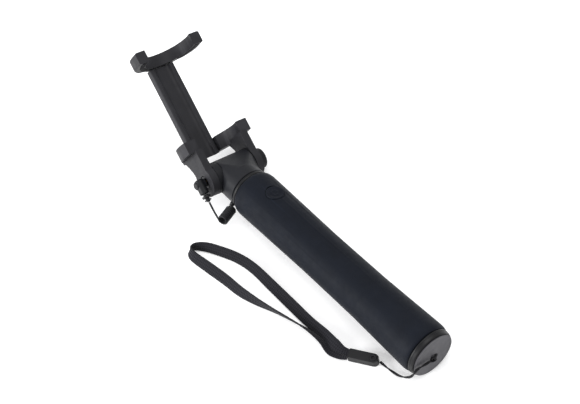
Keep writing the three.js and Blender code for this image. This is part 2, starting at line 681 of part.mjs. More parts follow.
// The slider lies along its own line on the table: square where the strap goes in, round
// where the thread comes out.
function strapSlider() {
  const dx = SLIDER_TO[0] - SLIDER_FROM[0];
  const dy = SLIDER_TO[1] - SLIDER_FROM[1];
  const length = Math.hypot(dx, dy);
  const radius = SLIDER_WIDTH / 2;
  const shape = new THREE.Shape();
  shape.moveTo(0, -radius);
  shape.lineTo(length - radius, -radius);
  shape.absarc(length - radius, 0, radius, -Math.PI / 2, Math.PI / 2, false);
  shape.lineTo(0, radius);
  shape.closePath();
  const body = raised(shape, 0.3, 0.3 + SLIDER_HEIGHT, 0.6, 12);
  return body.rotateZ(Math.atan2(dy, dx)).translate(...SLIDER_FROM, 0);
}

place(table, 'wrist_strap', roundTube(STRAP_ROUTE, STRAP_R, 54), webbing);
place(table, 'strap_slider', strapSlider(), trimPlastic);
place(table, 'lanyard_thread', roundTube(THREAD_ROUTE, THREAD_R, 24), webbing);

export default selfieStick;
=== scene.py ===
"""A collapsed selfie stick on a table: the looks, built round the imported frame.

Pieces are drawn in millimetres in one of three frames, and placed by that frame's matrix:
STICK   origin on the hinge, +X along the handle, +Y along the hinge axis, +Z to the button
CLAMP   the same origin, +Z up the clamp's rail, +X out of the side that faces the phone
TABLE   origin on the table under the hinge, square with the row frame
"""

import json
import math

import bmesh
import bpy
from mathutils import Matrix, Vector


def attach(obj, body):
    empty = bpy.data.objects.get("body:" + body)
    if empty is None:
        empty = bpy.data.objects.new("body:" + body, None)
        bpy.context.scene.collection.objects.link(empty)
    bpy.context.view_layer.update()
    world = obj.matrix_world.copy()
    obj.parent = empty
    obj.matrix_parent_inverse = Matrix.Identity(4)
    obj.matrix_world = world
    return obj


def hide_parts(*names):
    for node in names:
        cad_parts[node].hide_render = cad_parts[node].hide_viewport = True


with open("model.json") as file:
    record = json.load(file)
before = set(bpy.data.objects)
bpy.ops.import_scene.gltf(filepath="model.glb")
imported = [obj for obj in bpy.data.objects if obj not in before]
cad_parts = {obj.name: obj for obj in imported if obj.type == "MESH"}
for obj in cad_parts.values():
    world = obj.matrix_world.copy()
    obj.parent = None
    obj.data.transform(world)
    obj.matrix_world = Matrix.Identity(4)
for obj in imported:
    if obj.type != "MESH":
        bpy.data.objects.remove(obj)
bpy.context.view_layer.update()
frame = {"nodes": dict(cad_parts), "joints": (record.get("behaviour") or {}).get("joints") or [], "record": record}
NODES = frame["nodes"]
JOINTS = {joint["name"]: joint for joint in frame["joints"]}
HINGE = Vector(JOINTS["clamp_tilt"]["pos_m"])

# ------------------------------------------------------------------ driving dimensions, mm
ROLL = math.radians(-18)
TILT = math.radians(35.8)
SLEEVE_SHAPE = [(28.5, 15.75), (60, 14.95), (92, 14.6), (134, 14.75), (160, 15.45), (180, 16)]
SLEEVE_FRONT, SLEEVE_END, SLEEVE_BORE = 23.8, 184.4, 13.3
BUTTON_X, BUTTON_R, BUTTON_TOP = 45.2, 5.9, 15.2
BUTTON_GAP, KEY_LEG_OUT, KEY_POST_OUT = 0.28, 6.2, 5.1
FINE = 128
CAP_FACE, CAP_R = 189.2, 14.2
BARREL_R, BARREL_HALF, BARREL_SEAM = 10.1, 14.7, -9.5
NECK_R, NECK_END = 13.8, 20.4
ARM_INNER, ARM_OUTER, EAR_R = 15, 20, 10
JAW_BORE, LOWER_JAW_R, LOWER_JAW_TIP = 17.5, 25.2, 6.9
LOWER_JAW_FLOOR, LOWER_JAW_TOP, TIP_FLOOR = 17.7, 27.4, 19.3
UPPER_JAW_TIP, UPPER_JAW_FLOOR, UPPER_JAW_TOP = 4, 85, 93
RAIL_HALF, RAIL_FRONT, RAIL_BACK = 9.4, -17.6, -22.6
RAIL_FOOT, RAIL_TOP, RIM, RAIL_WALL = 17, 84.6, 3.6, 0.8
UPPER_JAW_ROUNDING = 2.2
PAD_BORE, PAD_RADIUS, PAD_FROM, PAD_TO, UPPER_PAD_SHIFT = 18.7, 21.6, 74, 142, 8
PAD_PROUD, PAD_SUNK = 0.3, 0.7
GLAND_X, GLAND_R, GLAND_TIP = 18.3, 1.8, 16.2
GLAND_DIRECTION = Vector((0, -0.8, -0.6))
COIL_END, COIL_LENGTH, COIL_TURNS = Vector((25.1, -24.15, -11.4)), 10.7, 7.62
COIL_DIRECTION = Vector((0.364, -0.916, -0.17)).normalized()
COIL_SIDE, COIL_WIRE_R, COIL_START = Vector((-0.811, -0.401, 0.426)), 2.85, 61
PLUG_Y, PLUG_R, LEAD_R = -23.9, 3.1, 0.65

MM = Matrix.Scale(0.001, 4)
STICK = Matrix.Translation(HINGE) @ Matrix.Rotation(ROLL, 4, "X") @ MM
CLAMP = STICK @ Matrix.Rotation(TILT - math.pi / 2, 4, "Y")
TABLE = Matrix.Translation((HINGE.x, HINGE.y, 0)) @ MM

# ------------------------------------------------------------------ camera, floor and light
CAMERA_FROM_HINGE = Vector((0.4617, -0.1930, 0.5873))
CAMERA_RIGHT = Vector((0.6212, 0.7646, -0.1720))
CAMERA_UP = Vector((-0.5540, 0.5836, 0.5938))
LENS = 74.5


def make_camera():
    camera = bpy.data.objects.new("camera", bpy.data.cameras.new("camera"))
    bpy.context.scene.collection.objects.link(camera)
    back = CAMERA_RIGHT.cross(CAMERA_UP).normalized()
    up = back.cross(CAMERA_RIGHT).normalized()
    turn = Matrix((CAMERA_RIGHT.normalized(), up, back)).transposed()
    camera.matrix_world = Matrix.Translation(HINGE + CAMERA_FROM_HINGE) @ turn.to_4x4()
    camera.data.lens = LENS
    camera.data.sensor_width = 36
    camera.data.clip_start = 0.01
    bpy.context.scene.camera = camera


def make_light(name, place, aim, size, power):
    lamp = bpy.data.lights.new(name, "AREA")
    lamp.shape = "DISK"
    lamp.size = size
    lamp.energy = power
    light = bpy.data.objects.new(name, lamp)
    bpy.context.scene.collection.objects.link(light)
    light.location = place
    light.rotation_mode = "QUATERNION"
    light.rotation_quaternion = (Vector(aim) - Vector(place)).to_track_quat("-Z", "Y")
    return light


def make_stage():
    bpy.ops.mesh.primitive_plane_add(size=8, location=(0, 0, 0))
    floor = bpy.context.object
    floor.name = "floor"
    paint = bpy.data.materials.new("floor")
    paint.use_nodes = True
    shader = paint.node_tree.nodes["Principled BSDF"]
    shader.inputs["Base Color"].default_value = (0.86, 0.86, 0.865, 1)
    shader.inputs["Emission Color"].default_value = (1, 1, 1, 1)
    shader.inputs["Emission Strength"].default_value = 0.3
    shader.inputs["Roughness"].default_value = 0.9
    shader.inputs["Specular IOR Level"].default_value = 0.1
    floor.data.materials.append(paint)
    world = bpy.data.worlds.new("studio")
    bpy.context.scene.world = world
    world.use_nodes = True
    sky = world.node_tree.nodes["Background"]
    sky.inputs["Color"].default_value = (1, 1, 1, 1)
    sky.inputs["Strength"].default_value = 0.8
    make_light("overhead", (0.1, 0.25, 1.1), (0, 0, 0), 0.9, 6)
    make_light("left", (-0.3, -0.95, 0.42), (-0.06, 0, 0.03), 0.6, 12)
    bpy.context.scene.view_settings.view_transform = "Standard"


make_camera()
make_stage()

# ------------------------------------------------------------------ materials
SLOT_OF = {"braid": "webbing"}


class Graph:
    """A material's node tree, with short calls for the nodes used here."""

    def __init__(self, name):
        self.material = bpy.data.materials.new(f"{name}_look")
        self.material["slot"] = SLOT_OF.get(name, name)
        self.material.use_nodes = True
        self.nodes = self.material.node_tree.nodes
        self.links = self.material.node_tree.links
        self.shader = self.nodes["Principled BSDF"]
        self.place = self.nodes.new("ShaderNodeTexCoord").outputs["Object"]

    def link(self, source, target):
        self.links.new(source, target)

    def noise(self, scale, detail=3, source=None):
        node = self.nodes.new("ShaderNodeTexNoise")
        node.inputs["Scale"].default_value = scale
        node.inputs["Detail"].default_value = detail
        self.link(source or self.place, node.inputs["Vector"])
        return node.outputs["Fac"]

    def spread(self, value, low, high, from_low=0.3, from_high=0.7):
        node = self.nodes.new("ShaderNodeMapRange")
        node.inputs["From Min"].default_value = from_low
        node.inputs["From Max"].default_value = from_high
        node.inputs["To Min"].default_value = low
        node.inputs["To Max"].default_value = high
        self.link(value, node.inputs["Value"])
        return node.outputs["Result"]

    def mix(self, factor, first, second):
        node = self.nodes.new("ShaderNodeMix")
        node.data_type = "RGBA"
        self.link(factor, node.inputs["Factor"])
        for socket, value in ((node.inputs[6], first), (node.inputs[7], second)):
            if isinstance(value, tuple):
                socket.default_value = (*value, 1)
            else:
                self.link(value, socket)
        return node.outputs[2]

    def math(self, operation, first, second):
        node = self.nodes.new("ShaderNodeMath")
        node.operation = operation
        for socket, value in zip(node.inputs, (first, second)):
            if isinstance(value, (int, float)):
                socket.default_value = value
            else:
                self.link(value, socket)
        return node.outputs[0]

    def bump(self, height, distance, strength=1.0, normal=None):
        node = self.nodes.new("ShaderNodeBump")
        node.inputs["Strength"].default_value = strength
        node.inputs["Distance"].default_value = distance
        self.link(height, node.inputs["Height"])
        if normal:
            self.link(normal, node.inputs["Normal"])
        return node.outputs["Normal"]

    def finish(self, colour=None, roughness=None, normal=None, **fixed):
        sockets = self.shader.inputs
        for name, source in (("Base Color", colour), ("Roughness", roughness), ("Normal", normal)):
            if source is not None:
                self.link(source, sockets[name])
        for name, value in fixed.items():
            sockets[name.replace("_", " ")].default_value = value
        return self.material


def shade(colour, factor):
    return tuple(channel * factor for channel in colour)


def moulded(name, colour, roughness, grain=0.000012, grain_scale=9000, specular=0.35, **fixed):
    """Moulded plastic or rubber: a fine spark-eroded grain, a faint mottle and worn edges."""
    graph = Graph(name)
    mottle = graph.noise(90, 4)
    grain_height = graph.noise(grain_scale, 2)
    edge = graph.nodes.new("ShaderNodeNewGeometry").outputs["Pointiness"]
    rubbed = graph.spread(edge, 0, 0.35, 0.53, 0.62)
    body = graph.mix(graph.spread(mottle, 0, 1), shade(colour, 0.86), shade(colour, 1.14))
    tint = graph.mix(rubbed, body, shade(colour, 2.2))
    rough = graph.spread(graph.noise(260, 3), roughness - 0.05, roughness + 0.06)
    normal = graph.bump(grain_height, grain)
    return graph.finish(tint, rough, normal, Specular_IOR_Level=specular, **fixed)


def metal(name, colour, roughness, stretch=(1, 1, 1)):
    """Metal with a drawn grain, stretched along the piece."""
    graph = Graph(name)
    mapping = graph.nodes.new("ShaderNodeMapping")
    mapping.inputs["Scale"].default_value = stretch
    graph.link(graph.place, mapping.inputs["Vector"])
    lines = graph.noise(2600, 2, mapping.outputs["Vector"])
    tint = graph.mix(graph.spread(lines, 0, 1), shade(colour, 0.85), shade(colour, 1.12))
    rough = graph.spread(lines, roughness - 0.06, roughness + 0.08)
    normal = graph.bump(lines, 0.000006)
    return graph.finish(tint, rough, normal, Metallic=1.0)


def woven(name, colour, u_pitch, v_pitch):
    """Woven tape or braid. Its UVs are in millimetres along and across the weave."""
    graph = Graph(name)
    coordinates = graph.nodes.new("ShaderNodeUVMap").outputs["UV"]
    split = graph.nodes.new("ShaderNodeSeparateXYZ")
    graph.link(coordinates, split.inputs["Vector"])
    along = graph.math("MULTIPLY", split.outputs["X"], 2 * math.pi / u_pitch)
    across = graph.math("MULTIPLY", split.outputs["Y"], 2 * math.pi / v_pitch)
    ribs = graph.math("SINE", graph.math("ADD", along, graph.math("SINE", across, 0)), 0)
    yarns = graph.math("SINE", across, 0)
    weave = graph.math("ADD", ribs, graph.math("MULTIPLY", yarns, 0.6))
    fuzz = graph.noise(5200, 4)
    tint = graph.mix(graph.spread(weave, 0, 1, -1.5, 1.5), shade(colour, 0.35), shade(colour, 1.6))
    tint = graph.mix(graph.spread(fuzz, 0, 0.4), tint, shade(colour, 1.8))
    rough = graph.spread(fuzz, 0.78, 0.95)
    normal = graph.bump(weave, 0.00009)
    normal = graph.bump(fuzz, 0.00005, 1.0, normal)
    return graph.finish(tint, rough, normal, Sheen_Weight=0.1, Sheen_Roughness=0.4,
                        Specular_IOR_Level=0.1)


SILICONE = moulded("silicone", (0.0045, 0.0062, 0.0108), 0.62, 0.000010, 7000, 0.1, Sheen_Weight=0.02)
SHELL = moulded("shell_plastic", (0.0085, 0.009, 0.011), 0.42, 0.000010, specular=0.16)
CLAMP_PLASTIC = moulded("clamp_plastic", (0.0175, 0.0175, 0.0205), 0.5, 0.000014, specular=0.17)
TRIM = moulded("trim_plastic", (0.0065, 0.0067, 0.0078), 0.4, 0.000003, 5000, 0.2)
CAP_PLASTIC = moulded("cap_plastic", (0.048, 0.047, 0.054), 0.44, 0.000008, specular=0.25)
PAD_RUBBER = moulded("pad_rubber", (0.0065, 0.0065, 0.008), 0.75, 0.00002, 6000, 0.12)
LEAD_RUBBER = moulded("lead_rubber", (0.0065, 0.007, 0.0085), 0.45, 0.000006, 6000, 0.22)
NYLON = moulded("nylon", (0.48, 0.47, 0.43), 0.5, 0.000006)
STEEL = metal("steel", (0.42, 0.43, 0.44), 0.27, (0.04, 1, 1))
BLACK_STEEL = metal("black_steel", (0.03, 0.03, 0.033), 0.4)
BRASS = metal("jack_brass", (0.6, 0.38, 0.12), 0.25)
BOARD = moulded("circuit_board", (0.012, 0.07, 0.035), 0.4, 0.000004, 3000)
WEBBING = woven("webbing", (0.0135, 0.0135, 0.0165), 1.3, 0.8)
BRAID = woven("braid", (0.010, 0.010, 0.012), 0.8, 0.8)

# ------------------------------------------------------------------ shape helpers


def rounded(points, radius, steps=4, loop=False):
    """The 2-D outline with its corners rounded, each by at most 45% of its shorter side."""
    points = [Vector(point) for point in points]
    count = len(points)
    result = []
    for i, corner in enumerate(points):
        if not loop and i in (0, count - 1):
            result.append(corner)
            continue
        before, after = points[i - 1] - corner, points[(i + 1) % count] - corner
        reach = min(radius, 0.45 * before.length, 0.45 * after.length)
        start, end = corner + before.normalized() * reach, corner + after.normalized() * reach
        for step in range(steps + 1):
            t = step / steps
            result.append(start * (1 - t) ** 2 + corner * 2 * t * (1 - t) + end * t ** 2)
    return result


def arc(radius, start, end, steps, centre=(0, 0)):
    """Points on a circle from one angle to another, in degrees."""
    angles = [math.radians(start + (end - start) * i / steps) for i in range(steps + 1)]
    return [(centre[0] + radius * math.cos(a), centre[1] + radius * math.sin(a)) for a in angles]


def spline(points, steps):
    """A smooth curve through the points, of any dimension, with steps to each span."""
    points = [Vector(point) for point in points]
    ends = [points[0] * 2 - points[1], *points, points[-1] * 2 - points[-2]]
    result = []
    for i in range(1, len(ends) - 2):
        p0, p1, p2, p3 = ends[i - 1 : i + 3]
        for step in range(steps):
            t = step / steps
            result.append(0.5 * (2 * p1 + (p2 - p0) * t + (2 * p0 - 5 * p1 + 4 * p2 - p3) * t ** 2
                                 + (3 * p1 - p0 - 3 * p2 + p3) * t ** 3))
    result.append(points[-1])
    return result


AXES = {
    "X": lambda along, a, b: (along, a, b),
    "Y": lambda along, a, b: (b, along, a),
    "Z": lambda along, a, b: (a, b, along),
}


def turned(profile, sides=96, axis="X"):
    """Turned about an axis from (place along it, radius). It closes on itself if it starts off the axis."""
    shape = bmesh.new()
    rings = []
    closed = profile[0][1] > 1e-6
    for along, radius in profile:
        if radius < 1e-6:
            rings.append([shape.verts.new(AXES[axis](along, 0, 0))])
            continue
        angles = [2 * math.pi * i / sides for i in range(sides)]
        rings.append([shape.verts.new(AXES[axis](along, radius * math.cos(a), radius * math.sin(a)))
                      for a in angles])
    pairs = list(zip(rings, rings[1:]))
    if closed:
        pairs.append((rings[-1], rings[0]))
    for first, second in pairs:
        for i in range(sides):
            j = (i + 1) % sides
            if len(first) == 1 and len(second) == 1:
                break
            if len(first) == 1:
                shape.faces.new((first[0], second[j], second[i]))
            elif len(second) == 1:
                shape.faces.new((first[i], first[j], second[0]))
            else:
                shape.faces.new((first[i], first[j], second[j], second[i]))
    bmesh.ops.recalc_face_normals(shape, faces=shape.faces)
    return shape


def bar(low, high, radius):
    """The profile of a plain round bar, for turned."""
    return [(low, 0), (low, radius), (high, radius), (high, 0)]


def prism(outline, low, high, axis="Z"):
    """An outline raised along Z, or one drawn in XZ and spread along Y."""
    shape = bmesh.new()
    put = (lambda x, y, h: (x, y, h)) if axis == "Z" else (lambda x, y, h: (x, h, y))
    floor = [shape.verts.new(put(x, y, low)) for x, y in outline]
    roof = [shape.verts.new(put(x, y, high)) for x, y in outline]
    shape.faces.new(floor)
    shape.faces.new(roof)
    for i in range(len(outline)):
        j = (i + 1) % len(outline)
        shape.faces.new((floor[i], floor[j], roof[j], roof[i]))
    bmesh.ops.recalc_face_normals(shape, faces=shape.faces)
    return shape


def brick(x, y, z):
    return prism([(x[0], y[0]), (x[1], y[0]), (x[1], y[1]), (x[0], y[1])], z[0], z[1])


def sweep(path, section, closed_ends=True):
    """A section, given by a call for each station's 2-D points, carried along a path. Its UVs are mm."""
    shape = bmesh.new()
    layer = shape.loops.layers.uv.new("UVMap")
    stations = []
    travelled = [0.0]
    for a, b in zip(path, path[1:]):
        travelled.append(travelled[-1] + (b - a).length)
    for i, point in enumerate(path):
        tangent = (path[min(i + 1, len(path) - 1)] - path[max(i - 1, 0)]).normalized()
        stations.append([shape.verts.new(point + offset) for offset in section(i, tangent)])
    count = len(stations[0])
    rim = [0.0]
    for a, b in zip(stations[0], stations[0][1:] + stations[0][:1]):
        rim.append(rim[-1] + (b.co - a.co).length)
    for i in range(len(path) - 1):
        for k in range(count):
            m = (k + 1) % count
            face = shape.faces.new((stations[i][k], stations[i][m], stations[i + 1][m], stations[i + 1][k]))
            values = [(travelled[i], rim[k]), (travelled[i], rim[k + 1]),
                      (travelled[i + 1], rim[k + 1]), (travelled[i + 1], rim[k])]
            for loop, value in zip(face.loops, values):
                loop[layer].uv = value
    if closed_ends:
        shape.faces.new(stations[0])
        shape.faces.new(stations[-1])
    bmesh.ops.recalc_face_normals(shape, faces=shape.faces)
    return shape


def round_section(radius, sides=16):
    """A round section that does not twist along its path."""
    state = {"side": None}

    def at(index, tangent):
        side = state["side"] or tangent.orthogonal().normalized()
        side = (side - tangent * side.dot(tangent)).normalized()
        state["side"] = side
        other = tangent.cross(side)
        size = radius(index) if callable(radius) else radius
        angles = [2 * math.pi * k / sides for k in range(sides)]
        return [(side * math.cos(a) + other * math.sin(a)) * size for a in angles]

    return at


def loose(shape, name="tool"):
    """A plain object from a bmesh, to cut or join with."""
    mesh = bpy.data.meshes.new(name)
    shape.to_mesh(mesh)
    shape.free()
    obj = bpy.data.objects.new(name, mesh)
    bpy.context.scene.collection.objects.link(obj)
    return obj


def settle(obj):
    """Applies an object's modifiers to its mesh."""
    bpy.context.view_layer.update()
    final = bpy.data.meshes.new_from_object(obj.evaluated_get(bpy.context.evaluated_depsgraph_get()))
    obj.modifiers.clear()
    obj.data = final


def carve(obj, tools, operation="DIFFERENCE"):
    """Cuts or joins each bmesh tool with the object, and cleans what is left."""
    for shape in tools:
        tool = loose(shape)
        modifier = obj.modifiers.new("carve", "BOOLEAN")
        modifier.operation = operation
        modifier.solver = "EXACT"
        modifier.object = tool
        settle(obj)
        bpy.data.objects.remove(tool)
    shape = bmesh.new()
    shape.from_mesh(obj.data)
    bmesh.ops.remove_doubles(shape, verts=shape.verts, dist=0.02)
    bmesh.ops.dissolve_limit(shape, angle_limit=math.radians(1), verts=shape.verts, edges=shape.edges)
    shape.to_mesh(obj.data)
    shape.free()
    return obj


def soften(obj, width, segments=3, angle=32):
    """Rounds the sharp edges of a solid, as moulding does."""
    modifier = obj.modifiers.new("soften", "BEVEL")
    modifier.width = width
    modifier.segments = segments
    modifier.limit_method = "ANGLE"
    modifier.angle_limit = math.radians(angle)
    modifier.use_clamp_overlap = True
    settle(obj)
    return obj


def place(obj, name, matrix, material, body, replaced=(), sharp=35):
    """Names a finished piece and puts it in the row frame, on its body."""
    obj.name = name
    obj.data.name = name
    obj.data.transform(matrix)
    obj.data.materials.clear()
    obj.data.materials.append(material)
    obj.data.shade_smooth()
    obj.data.set_sharp_from_angle(angle=math.radians(sharp))
    smooth = obj.modifiers.new("even_shading", "WEIGHTED_NORMAL")
    smooth.keep_sharp = True
    settle(obj)
    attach(obj, body)
    if replaced:
        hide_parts(*replaced)
    return obj

# ------------------------------------------------------------------ strap, slider and thread
STRAP_ROUTE = [
    (147.6, -28.4, 3.2), (143.6, -30.4, 3.2), (138, -31.2, 3.2), (129, -31.1, 3.2), (115, -31.8, 3.2),
    (98, -31.7, 3.2), (80, -31.7, 3.2), (61, -32.0, 3.2), (47.5, -34.6, 3.2), (35, -39.6, 3.2),
    (27.2, -43.6, 3.2), (22.0, -48.4, 3.2), (21.4, -52.0, 3.2), (26, -53.6, 3.2), (40, -51.6, 3.2),
    (54.5, -49.6, 3.2), (68.5, -48.4, 3.2), (81, -46, 3.2), (94, -42.4, 3.2), (106, -39.2, 3.2),
    (119, -36.2, 3.2), (131, -34.8, 3.2), (139, -35.0, 3.2), (145.4, -33.3, 3.2), (149.1, -31.0, 3.2),
]
# At each point of the route: how far the tape leans from standing on its edge, in degrees, and how
# far it is held above the table where one leg crosses the other.
STRAP_LEAN = [
    -76, -70, -64, -58, -58, -62, -60, -50, -42, -38, -30, -8, 22,
    44, 56, 52, 40, 18, -8, -18, -26, -46, -70, -76, -78,
]
STRAP_LIFT = [1.4, 1.6, 1.6, 0.9, 0.2, *[0] * 18, 0.4, 0.9]
STRAP_WIDTH, STRAP_THICK, STRAP_PINCH, PINCH_REACH = 6.8, 1.1, 0.45, 10
SLIDER_FROM, SLIDER_TO, SLIDER_WIDTH, SLIDER_HEIGHT = (148.8, -29.4), (164.2, -20.0), 6, 5.2
THREAD_ROUTE = [
    (164.7, -19.6, 2.4), (168.7, -19.2, 1.6), (173.7, -18.6, 1.5), (179, -18.2, 3.2),
    (184, -17.8, 7.4), (188.4, -17.0, 12.4), (190.3, -15.6, 16.2), (190.5, -13.6, 18.0),
    (190.4, -10.5, 17.3), (190.4, -6.5, 16.0), (190.3, -3.2, 14.9),
]


def tape_section(leans, widths):
    """The tape's flat section at each station, leaning, with soft selvedges."""
    thick = STRAP_THICK / 2

    def at(index, tangent):
        half = widths[index] / 2
        corner = [(half, -0.25), (half + 0.1, 0), (half, 0.25), (half - 0.5, thick), (0, thick * 0.9),
                  (-half + 0.5, thick), (-half, 0.25), (-half - 0.1, 0), (-half, -0.25),
                  (-half + 0.5, -thick), (0, -thick * 0.9), (half - 0.5, -thick)]
        level = Vector((0, 0, 1)).cross(tangent).normalized()
        up = tangent.cross(level)
        lean = math.radians(leans[index])
        wide = up * math.cos(lean) + level * math.sin(lean)
        flat = tangent.cross(wide)
        return [wide * a + flat * b for a, b in corner]

    return at


def wrist_strap():
    """A tape on its edge, pinched where both its ends are sewn into the slider."""
    route = [(x, y, lift, lean) for (x, y, _), lift, lean in zip(STRAP_ROUTE, STRAP_LIFT, STRAP_LEAN)]
    dense = spline(route, 12)
    leans = [point[3] for point in dense]
    path = []
    widths = []
    for point in dense:
        to_slider = (Vector(point[:2]) - Vector(SLIDER_FROM)).length
        widths.append(STRAP_WIDTH * (STRAP_PINCH + (1 - STRAP_PINCH) * min(to_slider / PINCH_REACH, 1)))
        lean = math.radians(point[3])
        height = widths[-1] / 2 * abs(math.cos(lean)) + STRAP_THICK / 2 * abs(math.sin(lean))
        path.append(Vector((point[0], point[1], height + 0.25 + point[2])))
    tape = place(loose(sweep(path, tape_section(leans, widths))), "wrist_tape", TABLE, WEBBING, "handle",
                 ["wrist_strap"], 60)
    return tape, [TABLE @ point for point in path]


def strap_slider():
    """A block with a round end, an eyelet on top of it and a mouth that takes the tape."""
    start = Vector(SLIDER_FROM)
    line = Vector(SLIDER_TO) - start
    length, half = line.length, SLIDER_WIDTH / 2
    turn = Matrix.Translation((*start, 0)) @ Matrix.Rotation(math.atan2(line.y, line.x), 4, "Z")
    outline = [(0, -half), *arc(half, -90, 90, 20, (length - half, 0)), (0, half)]
    body = loose(prism(outline, 0.3, 0.3 + SLIDER_HEIGHT))
    well = turned([(SLIDER_HEIGHT - 0.3, 0), (SLIDER_HEIGHT - 0.3, 1.9), (SLIDER_HEIGHT + 1, 1.9),
                   (SLIDER_HEIGHT + 1, 0)], 40, "Z")
    eye_x = length - half - 0.2
    bmesh.ops.translate(well, verts=well.verts, vec=(eye_x, 0, 0))
    carve(body, [brick((-1, 5), (-2.3, 2.3), (1.2, 4.6)), well])
    soften(body, 1.1, 4)
    rim = rounded([(SLIDER_HEIGHT - 0.5, 1.85), (SLIDER_HEIGHT + 0.6, 1.85), (SLIDER_HEIGHT + 0.6, 1.2),
                   (SLIDER_HEIGHT - 0.5, 1.2)], 0.3, 4, True)
    eye = loose(turned(rim, 40, "Z"))
    eye.data.transform(Matrix.Translation((eye_x, 0, 0)))
    piece = place(body, "slider_body", TABLE @ turn, TRIM, "handle", ["strap_slider"])
    ring = place(eye, "slider_eyelet", TABLE @ turn, CLAMP_PLASTIC, "handle")
    return piece, ring


def joined(shapes):
    """One plain object from several bmeshes."""
    merged = bmesh.new()
    for shape in shapes:
        part = loose(shape)
        merged.from_mesh(part.data)
        bpy.data.objects.remove(part)
    return loose(merged)


def lanyard_thread():
    """The cord is doubled, so two strands lie side by side and twist slowly round each other."""
    centre = spline(THREAD_ROUTE, 10)
    strands = []
    for side in (1, -1):
        path = []
        for i, point in enumerate(centre):
            tangent = (centre[min(i + 1, len(centre) - 1)] - centre[max(i - 1, 0)]).normalized()
            level = tangent.cross(Vector((0, 0, 1)))
            level = level.normalized() if level.length > 0.1 else Vector((0, 1, 0))
            other = tangent.cross(level)
            angle = 0.14 * i
            path.append(point + (level * math.cos(angle) + other * math.sin(angle)) * 0.38 * side)
        strands.append(sweep(path, round_section(0.42, 10)))
    piece = place(joined(strands), "thread_strands", TABLE, BRAID, "handle", ["lanyard_thread"], 60)
    return piece, [TABLE @ point for point in centre]


tape, tape_path = wrist_strap()
slider_body, slider_eyelet = strap_slider()
thread, thread_path = lanyard_thread()

# ------------------------------------------------------------------ grip and handle


def grip_sleeve():
    middle = [(x, r) for x, r in spline(SLEEVE_SHAPE, 14)]
    front = spline([(SLEEVE_FRONT, 13.9), (24.3, 14.7), (25.8, 15.4), SLEEVE_SHAPE[0]], 6)[:-1]
    back = spline([SLEEVE_SHAPE[-1], (182.4, 15.85), (183.8, 15.4), (SLEEVE_END, 14.8)], 6)[1:]
    profile = [(SLEEVE_FRONT, SLEEVE_BORE), *front, *middle, *back, (SLEEVE_END, SLEEVE_BORE)]
    body = loose(turned([tuple(point) for point in profile], FINE))
    hole_r = BUTTON_R + BUTTON_GAP
    hole = turned(bar(12.6, 20, hole_r), 72, "Z")
    bmesh.ops.translate(hole, verts=hole.verts, vec=(BUTTON_X, 0, 0))
    carve(body, [hole])
    soften(body, 0.35, 3, 40)
    place(body, "sleeve", STICK, SILICONE, "handle", ["grip_sleeve"], 50)


def shutter_button():
    """A round key with a soft rim, a dished face and a raised ring to find it by touch."""
    top = BUTTON_TOP + 0.05
    profile = rounded([
        (13.5, 0), (13.5, BUTTON_R), (top - 0.1, BUTTON_R), (top, BUTTON_R - 0.9),
        (top - 0.35, BUTTON_R - 2.0), (top - 0.4, 2.9), (top - 0.12, 2.4),
        (top - 0.12, 1.7), (top - 0.4, 1.2), (top - 0.42, 0),
    ], 0.5, 5)
    key = loose(turned([tuple(p) for p in profile], 96, "Z"))
    key.data.transform(Matrix.Translation((BUTTON_X, 0, 0)))
    legs = []
    posts = []
    for side in (1, -1):
        leg_x, post_x = BUTTON_X + side * KEY_LEG_OUT, BUTTON_X + side * KEY_POST_OUT
        legs.append(brick((leg_x - 1.1, leg_x + 1.1), (-2.2, 2.2), (12.3, 12.9)))
        posts.append(brick((post_x - 0.45, post_x + 0.45), (-2, 2), (12.5, 14)))
    carve(key, legs + posts, "UNION")
    place(key, "button_key", STICK, SILICONE, "button", ["shutter_button"], 50)


def trim_and_rings():
    """The black band and the collar in front of the grip, and the band behind it."""
    trim = rounded([
        (21.2, 13.4), (21.2, 13.9), (21.7, 14.3), (22.9, 14.3), (23.5, 13.9), (23.5, 13.4),
    ], 0.3, 4, True)
    place(loose(turned(trim, FINE)), "trim_band", STICK, TRIM, "handle", ["trim_ring"])
    collar = rounded([(20.6, 10.7), (20.6, 13.1), (23.6, 13.1), (23.6, 10.7)], 0.25, 4, True)
    place(loose(turned(collar, FINE)), "collar_ring", STICK, TRIM, "handle", ["front_collar"])
    end = rounded([
        (184.7, 12.4), (184.7, 14.85), (185.3, 15.25), (186.1, 15.15), (186.25, 14.95),
        (186.4, 15.1), (187.9, 14.8), (188.5, 14.4), (188.5, 12.4),
    ], 0.3, 4, True)
    place(loose(turned(end, FINE)), "end_band", STICK, TRIM, "handle", ["end_ring"])


def end_cap():
    profile = rounded([
        (176, 0), (176, 10.5), (184.4, 10.5), (184.7, 12.1), (188.75, 12.1), (188.75, CAP_R - 0.1),
        (CAP_FACE, CAP_R), (CAP_FACE + 0.02, CAP_R - 1.1), (CAP_FACE - 0.1, CAP_R - 1.6), (CAP_FACE - 0.1, 0),
    ], 0.35, 4)
    cap = loose(turned(profile, FINE))
    outline = rounded([(-1.4, -5.2), (4.0, -5.2), (4.0, -0.1), (-1.4, -0.1)], 2.2, 6, True)
    pocket = prism(outline, 184.6, 190)
    turn = Matrix(((0, 0, 1, 0), (1, 0, 0, 0), (0, 1, 0, 0), (0, 0, 0, 1)))
    bmesh.ops.transform(pocket, matrix=turn, verts=pocket.verts)
    carve(cap, [pocket])
    carve(cap, [brick((187.0, 188.7), (0.6, 1.8), (-6.4, 1.2))], "UNION")
    soften(cap, 0.22, 3, 40)
    place(cap, "cap_face", STICK, CAP_PLASTIC, "handle", ["end_cap"], 40)


